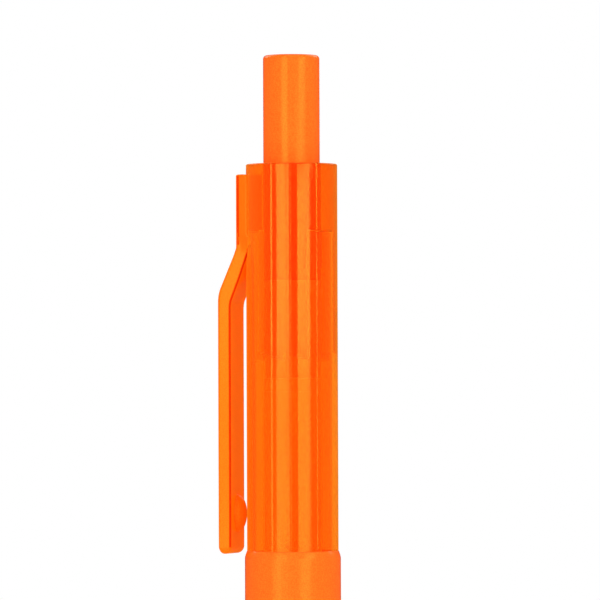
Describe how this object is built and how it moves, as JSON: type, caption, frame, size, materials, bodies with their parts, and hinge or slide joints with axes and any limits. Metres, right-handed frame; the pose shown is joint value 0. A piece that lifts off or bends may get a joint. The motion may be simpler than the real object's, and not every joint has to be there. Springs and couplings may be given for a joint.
{
  "type": "retractable highlighter",
  "caption": "Slim retractable highlighter with push button, translucent clip barrel, sprung ink cartridge and an airtight nose shutter that opens as the chisel nib comes out.",
  "frame": {"origin": "on the surface the pen stands on, under the middle of its overall width and depth with the clip included; the pen axis is at x = 1.425 mm, y = 0", "axes": "+Z along the pen axis from the nose to the push button, -X towards the clip"},
  "size_m": [0.0148, 0.012, 0.144],
  "materials": {
    "neon_plastic": "opaque moulded plastic, satin gloss",
    "clear_plastic": "translucent moulded plastic, glossy",
    "cam_plastic": "opaque moulded plastic",
    "tube_plastic": "opaque extruded plastic",
    "natural_plastic": "unpigmented moulded plastic",
    "ink_fibre": "ink-soaked bonded fibre",
    "felt": "pressed felt",
    "rubber": "moulded",
    "steel": "drawn wire"
  },
  "bodies": {
    "barrel": {"upper_barrel": "clear_plastic", "lower_barrel": "neon_plastic", "nose_cone": "neon_plastic", "seal_tube": "natural_plastic", "shutter_gasket": "rubber", "shutter_pin_left": "steel", "shutter_pin_right": "steel", "shutter_spring_left": "steel", "shutter_spring_right": "steel", "return_spring": "steel"},
    "button": {"push_button": "neon_plastic"},
    "cam": {"rotary_cam": "cam_plastic"},
    "cartridge": {"cartridge_tube": "tube_plastic", "cartridge_tail_plug": "tube_plastic", "ink_reservoir": "ink_fibre", "nib_holder": "natural_plastic", "felt_nib": "felt", "chamber_o_ring": "rubber"},
    "leaf_left": {"shutter_leaf_left": "natural_plastic"},
    "leaf_right": {"shutter_leaf_right": "natural_plastic"},
    "clip": {"pocket_clip": "clear_plastic"}
  },
  "joints": [
    {"name": "button_press", "type": "slide", "parent": "barrel", "child": "button", "axis": [0, 0, -1], "range_m": [0, 0.0115], "stiffness_N_per_m": 250, "springref_m": -0.002, "deforming": ["return_spring"]},
    {"name": "cam_feed", "type": "slide", "parent": "barrel", "child": "cam", "axis": [0, 0, -1], "range_m": [0, 0.0115]},
    {"name": "cartridge_feed", "type": "slide", "parent": "barrel", "child": "cartridge", "axis": [0, 0, -1], "range_m": [0, 0.0115]},
    {"name": "shutter_left_swing", "type": "hinge", "parent": "barrel", "child": "leaf_left", "pos_m": [-0.00147, 0, 0.004], "axis": [0, 1, 0], "range_deg": [0, 90]},
    {"name": "shutter_right_swing", "type": "hinge", "parent": "barrel", "child": "leaf_right", "pos_m": [0.00432, 0, 0.004], "axis": [0, -1, 0], "range_deg": [0, 90]},
    {"name": "clip_flex", "type": "hinge", "parent": "barrel", "child": "clip", "pos_m": [-0.00502, 0, 0.1202], "axis": [0, 1, 0], "range_deg": [0, 3], "stiffness_Nm_per_rad": 2.5}
  ],
  "couplings": [
    {"joint": "cam_feed", "follows": "button_press", "ratio": 1},
    {"joint": "cartridge_feed", "follows": "button_press", "ratio": 1},
    {"joint": "shutter_left_swing", "follows": "button_press", "rad_per_m": 136.5},
    {"joint": "shutter_right_swing", "follows": "button_press", "rad_per_m": 136.5}
  ]
}
